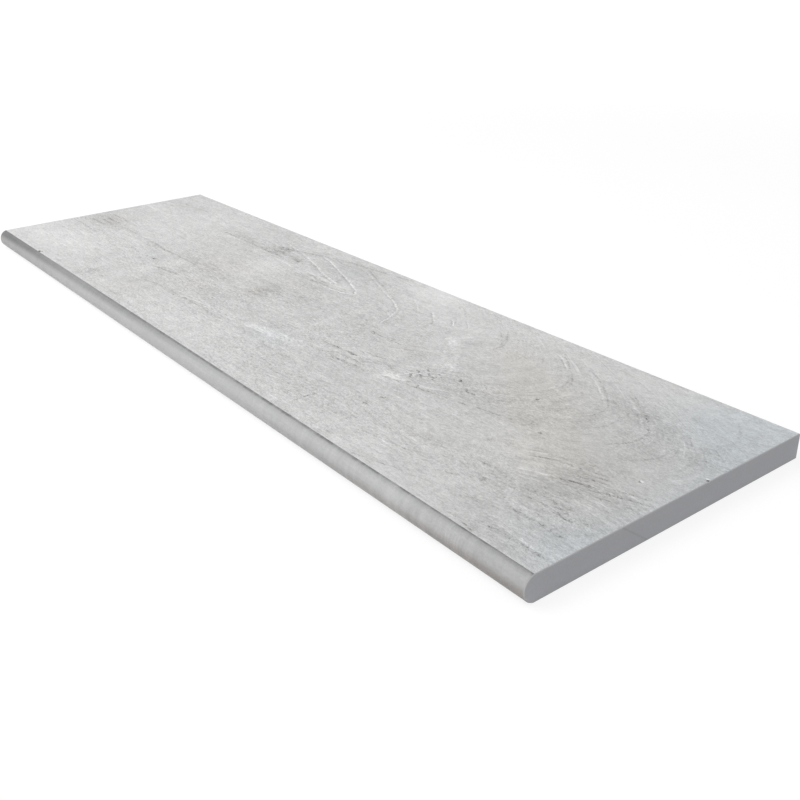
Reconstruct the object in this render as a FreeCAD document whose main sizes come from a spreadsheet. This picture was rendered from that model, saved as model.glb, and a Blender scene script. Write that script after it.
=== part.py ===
import FreeCAD, Part
import math
import os
import Sketcher

# One porcelain tile with a full bullnose along one long edge, of the kind laid as a step
# tread, a coping or a sill. It was pressed and fired as one piece, so it is one solid.
#
# The tile lies on its back. The origin is under its middle, on the plane it rests on.
# X runs along the rounded edge, Y from the rounded edge to the square back edge, Z up.
# All sizes are in millimetres and degrees.

NODE = "bullnose_tile"

# name, value, what it measures
SIZES = (
    ("length", 900.0, "along the rounded edge"),
    ("width", 270.0, "from the tip of the nose to the square back edge"),
    ("thickness", 20.0, "from the bedding plane to the face"),
    ("nose_depth", 8.0, "how far the nose stands out from the two arrises it springs from"),
    ("edge_bevel", 0.5, "bevel ground on the face side of the three square edges"),
    ("key_cell", 52.0, "side of one square recess in the back"),
    ("key_rib", 6.0, "land left between two recesses"),
    ("key_corner", 5.0, "radius of a recess's corners, seen from below"),
    ("key_depth", 0.8, "how deep a recess is pressed"),
    ("key_draft", 30.0, "lean of a recess's walls, so that the tile leaves its die"),
    ("key_border", 15.0, "least plain land along the three square edges"),
    ("nose_border", 16.0, "least plain land behind the lower arris of the nose"),
)

# The same sizes again in expressions: how many recesses fit each way, and where they lie.
PITCH = "(sizes.key_cell + sizes.key_rib)"
ROOM_LONG = "(sizes.length - 2 * sizes.key_border)"
ROOM_WIDE = "(sizes.width - sizes.nose_depth - sizes.nose_border - sizes.key_border)"
CELLS_LONG = f"floor(({ROOM_LONG} + sizes.key_rib) / {PITCH})"
CELLS_WIDE = f"floor(({ROOM_WIDE} + sizes.key_rib) / {PITCH})"
# From the middle of the first recess to the middle of the last one, each way.
FIELD_LONG = f"(({CELLS_LONG} - 1) * {PITCH})"
FIELD_WIDE = f"(({CELLS_WIDE} - 1) * {PITCH})"
# The field of recesses is centred in the room between the borders.
FIELD_MIDDLE = "(sizes.nose_depth + sizes.nose_border - sizes.key_border) / 2"

# A sketch's own places: the ends of a line or arc, its level axis and its origin.
START, END = 1, 2
LEVEL_AXIS = -1
ORIGIN = (LEVEL_AXIS, START)


def make_sizes(doc):
    """The sheet of driving dimensions, one row each: name, value, meaning."""
    sheet = doc.addObject("Spreadsheet::Sheet", "sizes")
    for row, (name, value, meaning) in enumerate(SIZES, start=1):
        sheet.set(f"A{row}", name)
        sheet.set(f"B{row}", str(value))
        sheet.set(f"C{row}", meaning)
        sheet.setAlias(f"B{row}", name)
    return sheet


def new_sketch(body, name, role):
    """An empty sketch of the body's own, on one of its origin planes."""
    plane = next(item for item in body.Origin.OriginFeatures if item.Role == role)
    sketch = body.newObject("Sketcher::SketchObject", name)
    sketch.AttachmentSupport = (plane, [""])
    sketch.MapMode = "FlatFace"
    return sketch


def drive(sketch, name, expression, kind, *places):
    """Adds one named dimension to a sketch and ties it to the sheet."""
    value = float(sketch.evalExpression(expression))
    index = sketch.addConstraint(Sketcher.Constraint(kind, *places, value))
    sketch.renameConstraint(index, name)
    sketch.setExpression(f"Constraints.{name}", expression)


def make_section(body, size):
    """The tile's section across its length: flat back and face, square back edge, and a
    nose that is one arc through its tip and the two arrises it springs from."""
    tip = -size["width"] / 2
    arris = tip + size["nose_depth"]
    heel = size["width"] / 2
    top = size["thickness"]

    low_arris = FreeCAD.Vector(arris, 0, 0)
    low_heel = FreeCAD.Vector(heel, 0, 0)
    top_heel = FreeCAD.Vector(heel, top, 0)
    top_arris = FreeCAD.Vector(arris, top, 0)
    nose_tip = FreeCAD.Vector(tip, top / 2, 0)

    sketch = new_sketch(body, "section", "YZ_Plane")
    back = sketch.addGeometry(Part.LineSegment(low_arris, low_heel))
    edge = sketch.addGeometry(Part.LineSegment(low_heel, top_heel))
    face = sketch.addGeometry(Part.LineSegment(top_heel, top_arris))
    nose = sketch.addGeometry(Part.Arc(top_arris, nose_tip, low_arris))
    tip_point = sketch.addGeometry(Part.Point(nose_tip), True)

    sketch.addConstraint(Sketcher.Constraint("Coincident", back, END, edge, START))
    sketch.addConstraint(Sketcher.Constraint("Coincident", edge, END, face, START))
    sketch.addConstraint(Sketcher.Constraint("Coincident", face, END, nose, START))
    sketch.addConstraint(Sketcher.Constraint("Coincident", nose, END, back, START))
    sketch.addConstraint(Sketcher.Constraint("Horizontal", back))
    sketch.addConstraint(Sketcher.Constraint("Vertical", edge))
    sketch.addConstraint(Sketcher.Constraint("Horizontal", face))
    sketch.addConstraint(Sketcher.Constraint("Vertical", face, END, back, START))
    sketch.addConstraint(Sketcher.Constraint("PointOnObject", back, START, LEVEL_AXIS))
    sketch.addConstraint(Sketcher.Constraint("PointOnObject", tip_point, START, nose))

    drive(sketch, "heel", "sizes.width / 2", "DistanceX", *ORIGIN, edge, START)
    drive(sketch, "thick", "sizes.thickness", "DistanceY", edge, START, edge, END)
    drive(sketch, "flat", "sizes.width - sizes.nose_depth", "DistanceX", face, END, face, START)
    drive(sketch, "tip_out", "sizes.width / 2", "DistanceX", tip_point, START, *ORIGIN)
    drive(sketch, "tip_up", "sizes.thickness / 2", "DistanceY", *ORIGIN, tip_point, START)
    return sketch


def make_slab(body, section):
    """The section carried along the whole length, half each way from the middle."""
    slab = body.newObject("PartDesign::Pad", "slab")
    slab.Profile = section
    slab.SideType = "Symmetric"
    slab.setExpression("Length", "sizes.length")
    return slab


def square_edges(shape, size):
    """Names of the face-side edges of the slab that aren't the nose's arris."""
    arris = -size["width"] / 2 + size["nose_depth"]
    names = []
    for number, edge in enumerate(shape.Edges, start=1):
        box = edge.BoundBox
        on_face = math.isclose(box.ZMin, size["thickness"], abs_tol=1e-3)
        is_arris = math.isclose(box.YMax, arris, abs_tol=1e-3)
        if on_face and not is_arris:
            names.append(f"Edge{number}")
    return names


def make_bevel(body, slab, size):
    """The small bevel ground along the face at both ends and at the back edge."""
    bevel = body.newObject("PartDesign::Chamfer", "bevel")
    bevel.Base = (slab, square_edges(slab.Shape, size))
    bevel.setExpression("Size", "sizes.edge_bevel")
    return bevel


def make_cell_outline(body, size):
    """One square with round corners on the bedding plane: the recess at the end of the
    field nearest the nose and the far end. Its sketch's own origin is its centre."""
    half = size["key_cell"] / 2
    inner = half - size["key_corner"]
    slant = half - size["key_corner"] * (1 - math.sqrt(0.5))

    sketch = new_sketch(body, "cell_outline", "XY_Plane")
    # Every corner is the first one turned by a quarter, so the outline is closed in order:
    # a side, then the arc that leads to the next side.
    sides = []
    corners = []
    for quarter in range(4):
        turn = FreeCAD.Rotation(FreeCAD.Vector(0, 0, 1), 90 * quarter)
        side_start = turn.multVec(FreeCAD.Vector(half, -inner, 0))
        side_end = turn.multVec(FreeCAD.Vector(half, inner, 0))
        middle = turn.multVec(FreeCAD.Vector(slant, slant, 0))
        next_start = turn.multVec(FreeCAD.Vector(inner, half, 0))
        sides.append(sketch.addGeometry(Part.LineSegment(side_start, side_end)))
        corners.append(sketch.addGeometry(Part.Arc(side_end, middle, next_start)))

    for quarter in range(4):
        following = sides[(quarter + 1) % 4]
        level = ("Vertical", "Horizontal")[quarter % 2]
        sketch.addConstraint(Sketcher.Constraint(level, sides[quarter]))
        sketch.addConstraint(
            Sketcher.Constraint("Tangent", sides[quarter], END, corners[quarter], START)
        )
        sketch.addConstraint(
            Sketcher.Constraint("Tangent", corners[quarter], END, following, START)
        )
    for corner in corners[1:]:
        sketch.addConstraint(Sketcher.Constraint("Equal", corners[0], corner))

    right, top, left, bottom = sides
    drive(sketch, "corner", "sizes.key_corner", "Radius", corners[0])
    drive(sketch, "half_right", "sizes.key_cell / 2", "DistanceX", *ORIGIN, right, START)
    drive(sketch, "half_left", "sizes.key_cell / 2", "DistanceX", left, START, *ORIGIN)
    drive(sketch, "half_top", "sizes.key_cell / 2", "DistanceY", *ORIGIN, top, START)
    drive(sketch, "half_bottom", "sizes.key_cell / 2", "DistanceY", bottom, START, *ORIGIN)

    sketch.setExpression("AttachmentOffset.Base.x", f"-{FIELD_LONG} / 2")
    sketch.setExpression("AttachmentOffset.Base.y", f"{FIELD_MIDDLE} - {FIELD_WIDE} / 2")
    return sketch


def make_cell(body, outline):
    """The recess itself, pressed up into the back, with walls that lean inwards."""
    cell = body.newObject("PartDesign::Pocket", "cell")
    cell.Profile = outline
    cell.Reversed = True
    cell.setExpression("Length", "sizes.key_depth")
    cell.setExpression("TaperAngle", "-sizes.key_draft")
    return cell


def make_keyed_back(body, cell, outline):
    """The field of like recesses that the bedding mortar keys into."""
    keys = body.newObject("PartDesign::LinearPattern", "keyed_back")
    keys.Originals = [cell]
    keys.Direction = (outline, ["H_Axis"])
    keys.setExpression("Length", FIELD_LONG)
    keys.setExpression("Occurrences", CELLS_LONG)
    keys.Direction2 = (outline, ["V_Axis"])
    keys.setExpression("Length2", FIELD_WIDE)
    keys.setExpression("Occurrences2", CELLS_WIDE)
    body.Tip = keys
    return keys


def make_tile(doc, size):
    """The whole tile: slab with its nose, bevelled edges, keyed back."""
    body = doc.addObject("PartDesign::Body", NODE)
    body.Label = NODE
    section = make_section(body, size)
    slab = make_slab(body, section)
    doc.recompute()
    bevel = make_bevel(body, slab, size)
    doc.recompute()
    outline = make_cell_outline(body, size)
    cell = make_cell(body, outline)
    doc.recompute()
    keys = make_keyed_back(body, cell, outline)
    doc.recompute()

    for before, after in ((slab, bevel), (bevel, cell), (cell, keys)):
        if after.Shape.Volume >= before.Shape.Volume:
            raise RuntimeError(f"{after.Name} takes nothing off the tile")
    return body


def check(doc, bodies):
    """Stops before anything is written if an object failed or a solid is unsound."""
    for item in doc.Objects:
        if {"Invalid", "Error"} & set(item.State):
            raise RuntimeError(f"{item.Name} failed: {item.State}")
    for body in bodies:
        if body.Shape.isNull() or not body.Shape.isValid():
            raise RuntimeError(f"{body.Label} has no sound shape")
        if len(body.Shape.Solids) != 1:
            raise RuntimeError(f"{body.Label} isn't one solid")


def main():
    doc = FreeCAD.newDocument("bullnose_tile")
    make_sizes(doc)
    doc.recompute()
    size = {name: value for name, value, meaning in SIZES}
    bodies = [make_tile(doc, size)]
    check(doc, bodies)

    os.makedirs("parts", exist_ok=True)
    for body in bodies:
        body.Shape.exportStep(f"parts/{body.Label}.step")
        box = body.Shape.BoundBox
        print(
            f"{body.Label}: {box.XLength:.2f} x {box.YLength:.2f} x {box.ZLength:.2f} mm,"
            f" {len(body.Shape.Faces)} faces, {body.Shape.Volume / 1000:.1f} cm3"
        )


main()
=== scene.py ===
import math

import bpy
import numpy as np
from mathutils import Matrix, Vector


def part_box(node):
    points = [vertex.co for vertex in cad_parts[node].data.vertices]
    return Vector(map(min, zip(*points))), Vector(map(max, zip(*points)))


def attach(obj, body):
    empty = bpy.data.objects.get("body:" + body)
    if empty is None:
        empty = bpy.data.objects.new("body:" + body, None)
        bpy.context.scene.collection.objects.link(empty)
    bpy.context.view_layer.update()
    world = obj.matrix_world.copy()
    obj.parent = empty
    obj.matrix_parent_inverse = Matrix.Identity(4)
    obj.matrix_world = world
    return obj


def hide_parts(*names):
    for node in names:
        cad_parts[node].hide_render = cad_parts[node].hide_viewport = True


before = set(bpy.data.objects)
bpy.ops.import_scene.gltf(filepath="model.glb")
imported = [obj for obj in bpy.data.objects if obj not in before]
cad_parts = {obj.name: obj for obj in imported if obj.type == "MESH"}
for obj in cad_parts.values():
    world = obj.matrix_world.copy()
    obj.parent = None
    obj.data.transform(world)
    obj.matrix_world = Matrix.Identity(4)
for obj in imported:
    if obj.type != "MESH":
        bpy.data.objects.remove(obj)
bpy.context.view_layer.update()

# A bullnose tile in printed porcelain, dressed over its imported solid.
# Shapes are worked out in millimetres in the frame's own axes: X along the tile, Y from the nose to the back
# edge, Z up from the underside. They become metres when they go into the mesh.

MM = 0.001
LOW, HIGH = (np.array(corner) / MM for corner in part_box("bullnose_tile"))
HALF_LONG = (HIGH[0] - LOW[0]) / 2
HALF_WIDE = (HIGH[1] - LOW[1]) / 2
THICK = HIGH[2] - LOW[2]

# The nose is one arc through its tip and both arrises.
NOSE_DEPTH = 8.0
NOSE_RADIUS = (NOSE_DEPTH**2 + (THICK / 2) ** 2) / (2 * NOSE_DEPTH)
NOSE_MIDDLE = -HALF_WIDE + NOSE_RADIUS
ARRIS = -HALF_WIDE + NOSE_DEPTH
NOSE_STEPS = 28

EDGE_BEVEL = 0.5
UNDER_BEVEL = 0.25
UNDER_RIM = 0.3

# The keyed back: drafted recesses between ribs.
KEYS_LONG = 15
KEYS_WIDE = 4
KEY_CELL = 52.0
KEY_PITCH = 58.0
KEY_CORNER = 5.0
KEY_DEPTH = 0.8
KEY_DRAFT = math.radians(30)
KEY_MIDDLE = 4.5
KEY_STEPS = 13

END_BORDER = np.array([0.0, 0.5, 1.0, 2.6, 5.0, 7.5, 10.0, 12.5])
NOSE_BORDER = np.array([0.0, 0.4, 0.9, 1.7, 3.0, 4.8, 6.9, 9.0, 11.2, 13.3])
BACK_BORDER = np.array([0.0, 0.5, 1.0, 2.5, 4.9, 7.3, 9.7, 12.1])
EDGE_LEVELS = 6

# The face is finished in six lengths of one cement, far to near, each with the strokes that reach into it.
ZONES = 6
NOSE, SAWN, BEVEL, KEYED = range(ZONES, ZONES + 4)


def ease(value, start, end):
    """0 before start, 1 after end, and 3t^2 - 2t^3 between them."""
    t = np.clip((value - start) / (end - start), 0.0, 1.0)
    return t * t * (3 - 2 * t)


# Stations


def stations_along():
    """Places along the tile: close together at the two ends, then 26 even steps in every key."""
    half_field = KEYS_LONG * KEY_PITCH / 2
    field = np.linspace(-half_field, half_field, KEYS_LONG * KEY_STEPS * 2 + 1)
    return np.concatenate([-HALF_LONG + END_BORDER, field, HALF_LONG - END_BORDER[::-1]])


def stations_across():
    """Places from the nose's arris to the back edge: close at both, then 26 even steps in every key."""
    half_field = KEYS_WIDE * KEY_PITCH / 2
    field = KEY_MIDDLE + np.linspace(-half_field, half_field, KEYS_WIDE * KEY_STEPS * 2 + 1)
    return np.concatenate([ARRIS + NOSE_BORDER, field, HALF_WIDE - BACK_BORDER[::-1]])


ALONG = stations_along()
ACROSS = stations_across()


def end_inset(x, turn):
    """How far the edge is taken off near an end: the full bevel in the end plane and none a bevel's width
    inside it. turn goes from 1 at the top arris to -1 at the bottom one, where less is taken off."""
    bevel = UNDER_BEVEL + (EDGE_BEVEL - UNDER_BEVEL) * (1 + turn) / 2
    return bevel * np.clip(1 - (HALF_LONG - np.abs(x)) / EDGE_BEVEL, 0, 1)


def nose_line(x, turn):
    """A point of the nose: on a circle round the nose's middle, whose radius is less the inset, at turn times
    the angle where that circle meets the flat face."""
    inset = end_inset(x, turn)
    radius = NOSE_RADIUS - inset
    angle = turn * np.arcsin((THICK / 2 - inset) / radius)
    return NOSE_MIDDLE - radius * np.cos(angle), THICK / 2 + radius * np.sin(angle)


def grid_faces(shape, start, outward=True):
    """Quads between neighbours of a grid of points, numbered row by row from start."""
    number = start + np.arange(shape[0] * shape[1]).reshape(shape)
    quad = np.stack([number[:-1, :-1], number[1:, :-1], number[1:, 1:], number[:-1, 1:]], -1).reshape(-1, 4)
    return quad if outward else quad[:, ::-1]


class Shell:
    """Points and faces of a closed shell, gathered sheet by sheet, then joined where points coincide."""

    def __init__(self):
        self.points = []
        self.faces = []
        self.kinds = []
        self.count = 0

    def add_points(self, points):
        start = self.count
        self.points.append(points.reshape(-1, 3))
        self.count += self.points[-1].shape[0]
        return start

    def add_faces(self, faces, kind):
        self.faces.append(faces)
        self.kinds.append(np.full(faces.shape[0], kind, np.int32) if np.isscalar(kind) else kind)

    def add_grid(self, points, kind, outward=True):
        start = self.add_points(points)
        self.add_faces(grid_faces(points.shape[:2], start, outward), kind)

    def joined(self):
        """Points that lie within a ten-thousandth of a millimetre become one. A face that loses a side
        to this becomes a triangle, and one that loses more is dropped."""
        points = np.concatenate(self.points)
        key = np.round(points * 1e4).astype(np.int64)
        _, first, place = np.unique(key, axis=0, return_index=True, return_inverse=True)
        place = place.reshape(-1)
        sizes = {}
        for faces, kinds in zip(self.faces, self.kinds):
            faces = place[faces]
            stays = faces != np.roll(faces, -1, axis=1)
            sides = stays.sum(1)
            for many in range(3, faces.shape[1] + 1):
                rows = sides == many
                kept = faces[rows][stays[rows]].reshape(-1, many)
                sizes.setdefault(many, []).append((kept, kinds[rows]))
        loops = []
        counts = []
        kinds = []
        for many, parts in sorted(sizes.items()):
            for kept, kept_kinds in parts:
                loops.append(kept.reshape(-1))
                counts.append(np.full(kept.shape[0], many, np.int32))
                kinds.append(kept_kinds)
        return points[first], np.concatenate(loops), np.concatenate(counts), np.concatenate(kinds)


# Sheets of the tile


def face_sheet():
    """The flat face: a level sheet, brought down along its ends and its back edge by a 45 degree bevel."""
    x = ALONG[:, None] + 0 * ACROSS[None, :]
    y = ACROSS[None, :] + 0 * x
    side = np.maximum(end_inset(x, 1.0), EDGE_BEVEL * np.clip(1 - (HALF_WIDE - y) / EDGE_BEVEL, 0, 1))
    y[:, 0] = nose_line(ALONG, 1.0)[0]
    points = np.stack([x, y, THICK - side], -1)
    middle_x = np.abs((x[:-1, :-1] + x[1:, 1:]) / 2)
    middle_y = (y[:-1, :-1] + y[1:, 1:]) / 2
    edge = (middle_x > HALF_LONG - EDGE_BEVEL) | (middle_y > HALF_WIDE - EDGE_BEVEL)
    zone = np.floor((x[:-1, :-1] + HALF_LONG) / (2 * HALF_LONG) * ZONES + 1e-6)
    return points, np.where(edge, BEVEL, zone).reshape(-1).astype(np.int32)


def nose_sheet():
    """The nose: its arc carried along the tile."""
    turn = np.linspace(-1, 1, NOSE_STEPS + 1)[None, :]
    x = ALONG[:, None] + 0 * turn
    y, z = nose_line(x, turn)
    middle_x = np.abs((x[:-1, :-1] + x[1:, 1:]) / 2)
    kinds = np.where(middle_x > HALF_LONG - EDGE_BEVEL, BEVEL, NOSE)
    return np.stack([x, y, z], -1), kinds.reshape(-1).astype(np.int32)


def back_edge_sheet():
    """The square back edge: straight lines from the under bevel to the face bevel."""
    rise = np.linspace(0, 1, EDGE_LEVELS + 1)[None, :]
    x = ALONG[:, None] + 0 * rise
    z = UNDER_BEVEL + (THICK - EDGE_BEVEL - UNDER_BEVEL) * rise + 0 * x
    return np.stack([x, HALF_WIDE + 0 * x, z], -1)


def end_sheet(side):
    """A sawn end: straight lines between the section's lower and upper outline, from the nose's tip back."""
    turn = np.linspace(0, 1, NOSE_STEPS // 2 + 1)
    x = side * HALF_LONG
    top_y, top_z = nose_line(x, turn)
    low_y, low_z = nose_line(x, -turn)
    flat_y = ACROSS[1:]
    top = np.stack([np.r_[top_y, flat_y], np.r_[top_z, 0 * flat_y + THICK - EDGE_BEVEL]], -1)
    low = np.stack([np.r_[low_y, flat_y], np.r_[low_z, 0 * flat_y + UNDER_BEVEL]], -1)
    rise = np.linspace(0, 1, EDGE_LEVELS + 1)[None, :, None]
    section = low[:, None] * (1 - rise) + top[:, None] * rise
    return np.concatenate([np.full(section.shape[:2] + (1,), x), section], -1)


def under_stations():
    """The underside has half as many stations. Its outermost ones stand a rim's width inside the edges."""
    along = ALONG[::2].copy()
    across = ACROSS[::2].copy()
    along[[0, -1]] += [UNDER_RIM, -UNDER_RIM]
    across[[0, -1]] += [UNDER_RIM, -UNDER_RIM]
    return along, across


def under_rim(shell):
    """A narrow chamfer round the underside. Each face has two steps on the outside and one on the inside."""
    along, across = under_stations()
    nose_y, nose_z = nose_line(ALONG, -1.0)
    level = 0 * ALONG + UNDER_BEVEL
    sides = [
        (np.stack([ALONG, nose_y, nose_z], -1), along, 0 * along + across[0], False),
        (np.stack([ALONG, 0 * ALONG + HALF_WIDE, level], -1), along, 0 * along + across[-1], True),
    ]
    for side in (-1, 1):
        y = np.r_[nose_line(side * HALF_LONG, -1.0)[0], ACROSS[1:]]
        outer = np.stack([0 * y + side * HALF_LONG, y, 0 * y + UNDER_BEVEL], -1)
        inner_x = 0 * across + side * (HALF_LONG - UNDER_RIM)
        sides.append((outer, inner_x, across, side < 0))
    for outer, inner_x, inner_y, turned in sides:
        inner = np.stack([inner_x, inner_y, 0 * inner_x], -1)
        first = shell.add_points(outer)
        second = shell.add_points(inner)
        step = np.arange(inner.shape[0] - 1)
        a = first + 2 * step
        b = second + step
        strip = np.stack([a, a + 1, a + 2, b + 1, b], -1)
        shell.add_faces(strip[:, ::-1] if not turned else strip, BEVEL)


def rounded_square(half, corner):
    """A square's outline with rounded corners, 13 steps to a side: three on each half corner, which is an
    arc, and seven on the straight between them. It goes round once, anticlockwise from above."""
    step = np.arange(KEY_STEPS)
    arc = 3
    straight = KEY_STEPS - 2 * arc
    turn = np.where(step < arc, -45 + 45 * step / arc, 45 * (step - arc - straight) / arc)
    turn = np.radians(np.where((step >= arc) & (step <= arc + straight), 0, turn))
    reach = np.clip((step - arc) / straight, 0, 1)
    middle = -(half - corner) + 2 * (half - corner) * reach
    x = middle + corner * np.sin(turn)
    y = -(half - corner) - corner * np.cos(turn)
    return turned_four_ways(x, y)


def plain_square(half):
    """A square's outline, 13 even steps to a side."""
    x = -half + 2 * half * np.arange(KEY_STEPS) / KEY_STEPS
    return turned_four_ways(x, 0 * x - half)


def turned_four_ways(x, y):
    """One side of an outline, then the same side turned by 90, 180 and 270 degrees."""
    return np.concatenate([np.stack(pair, -1) for pair in ((x, y), (-y, x), (-x, -y), (y, -x))])


def key_rings():
    """One recess as rings, from its square plot inwards: outline, depth. The wall leans in by the draft, and
    both its ends are eased. The last ring is the recess's middle."""
    half = KEY_CELL / 2
    lean = KEY_DEPTH * math.tan(KEY_DRAFT)
    ease_out = 0.25
    rings = [
        (plain_square(KEY_PITCH / 2), 0.0),
        (rounded_square(half + ease_out, KEY_CORNER + ease_out), 0.0),
        (rounded_square(half - 0.15 * lean, KEY_CORNER - 0.15 * lean), 0.12 * KEY_DEPTH),
        (rounded_square(half - 0.85 * lean, KEY_CORNER - 0.85 * lean), 0.88 * KEY_DEPTH),
        (rounded_square(half - lean - ease_out, KEY_CORNER - lean - ease_out), KEY_DEPTH),
        (rounded_square(half * 0.62, KEY_CORNER * 0.8), KEY_DEPTH),
        (rounded_square(half * 0.25, KEY_CORNER * 0.5), KEY_DEPTH),
        (0 * plain_square(1.0), KEY_DEPTH),
    ]
    outline = np.stack([ring for ring, _ in rings])
    depth = np.array([depth for _, depth in rings])
    return outline, depth


def keyed_back(shell):
    """The underside: a level border round the field, and in the field the same rings for every key."""
    along, across = under_stations()
    x = along[:, None] + 0 * across[None, :]
    y = across[None, :] + 0 * x
    start = shell.add_points(np.stack([x, y, 0 * x], -1))
    faces = grid_faces(x.shape, start, outward=False)
    middle_x = (x[:-1, :-1] + x[1:, 1:]).reshape(-1) / 2
    middle_y = (y[:-1, :-1] + y[1:, 1:]).reshape(-1) / 2
    field = np.abs(middle_x) < KEYS_LONG * KEY_PITCH / 2
    field &= np.abs(middle_y - KEY_MIDDLE) < KEYS_WIDE * KEY_PITCH / 2
    shell.add_faces(faces[~field], KEYED)

    outline, depth = key_rings()
    centre_x = KEY_PITCH * (np.arange(KEYS_LONG) - (KEYS_LONG - 1) / 2)
    centre_y = KEY_MIDDLE + KEY_PITCH * (np.arange(KEYS_WIDE) - (KEYS_WIDE - 1) / 2)
    centre = np.stack(np.meshgrid(centre_x, centre_y, indexing="ij"), -1).reshape(-1, 1, 1, 2)
    flat = centre + outline[None]
    height = np.broadcast_to(depth[None, :, None, None], flat.shape[:-1] + (1,))
    points = np.concatenate([flat, height], -1)
    start = shell.add_points(points)
    keys, rings, around = points.shape[:3]
    number = start + np.arange(keys * rings * around).reshape(keys, rings, around)
    following = np.roll(number, -1, axis=2)
    outer, inner = number[:, :-1], number[:, 1:]
    outer_next, inner_next = following[:, :-1], following[:, 1:]
    shell.add_faces(np.stack([outer, inner, inner_next, outer_next], -1).reshape(-1, 4), KEYED)


def waves(x, y, seed, longest, shortest, count=9):
    """Smooth uneven ground from -1 to 1: a sum of sine waves whose lengths go from longest to shortest, each
    with its own direction and start from the seeded draw."""
    draw = np.random.default_rng(seed)
    total = np.zeros(np.broadcast(x, y).shape)
    weight = 0.0
    for length in np.geomspace(longest, shortest, count):
        heading, start = draw.uniform(0, 2 * math.pi, 2)
        share = (length / longest) ** 0.5
        way = 2 * math.pi / length
        total += share * np.sin(way * (x * math.cos(heading) + y * math.sin(heading)) + start)
        weight += share
    return total / weight


# The trowel's sweep: it comes along the tile, turns round in nested bends towards one end, and goes back.
BEND_MIDDLE = 50.0
BEND_LEAN = 0.2
BEND_HOME = 340.0
BEND_SIZE = 200.0
ARM_SLOPE = 2.9

# Below the bends, a fan of strokes: how it is turned, how much finer it is, and how its strokes bow.
FAN_TURN = math.radians(20)
FAN_FINENESS = 1.9
FAN_BOW = 0.008
FAN_HOME = 380.0
FAN_TOP = -9.5


def trowel_sweep(x, y):
    """The sweep's own coordinates. Across it, each bend is a branch of a hyperbola lying on its side: its
    number is where its apex stands along the tile, and its arms run on nearly straight. Apexes drift towards
    the nose as that number grows. Along it, the distance from the apex line. The number stands on both sides
    of the formula, so it is worked out in four rounds. The bends show at the near end, above a slanting line.
    Below that line the fan takes over, with coordinates turned by its own angle. The last value is how
    strongly either shows: 0 where they meet and away from them, and above 1 in the fan."""
    bend = x + 0.0
    for _ in range(4):
        along = y - BEND_MIDDLE + BEND_LEAN * (bend - BEND_HOME)
        bend = x + np.hypot(BEND_SIZE, ARM_SLOPE * along) - BEND_SIZE
    above = y - np.minimum(-5 + 0.2 * (x - 330), -2)
    shows = ease(x, 30, 210) * (1 - ease(np.abs(along), 75, 135)) * ease(above, -10, 14)

    c = math.cos(FAN_TURN)
    s = math.sin(FAN_TURN)
    fan = ease(x, 290, 360) * (1 - ease(above, -22, -9)) * ease(y, -78, -50)
    in_fan = above < FAN_TOP
    along = np.where(in_fan, x * c + y * s, along)
    bend = np.where(in_fan, FAN_FINENESS * (y * c - x * s) + FAN_BOW * (x - FAN_HOME) ** 2, bend)
    return bend, along, np.where(in_fan, FAN_FINENESS * fan, shows)


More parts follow.
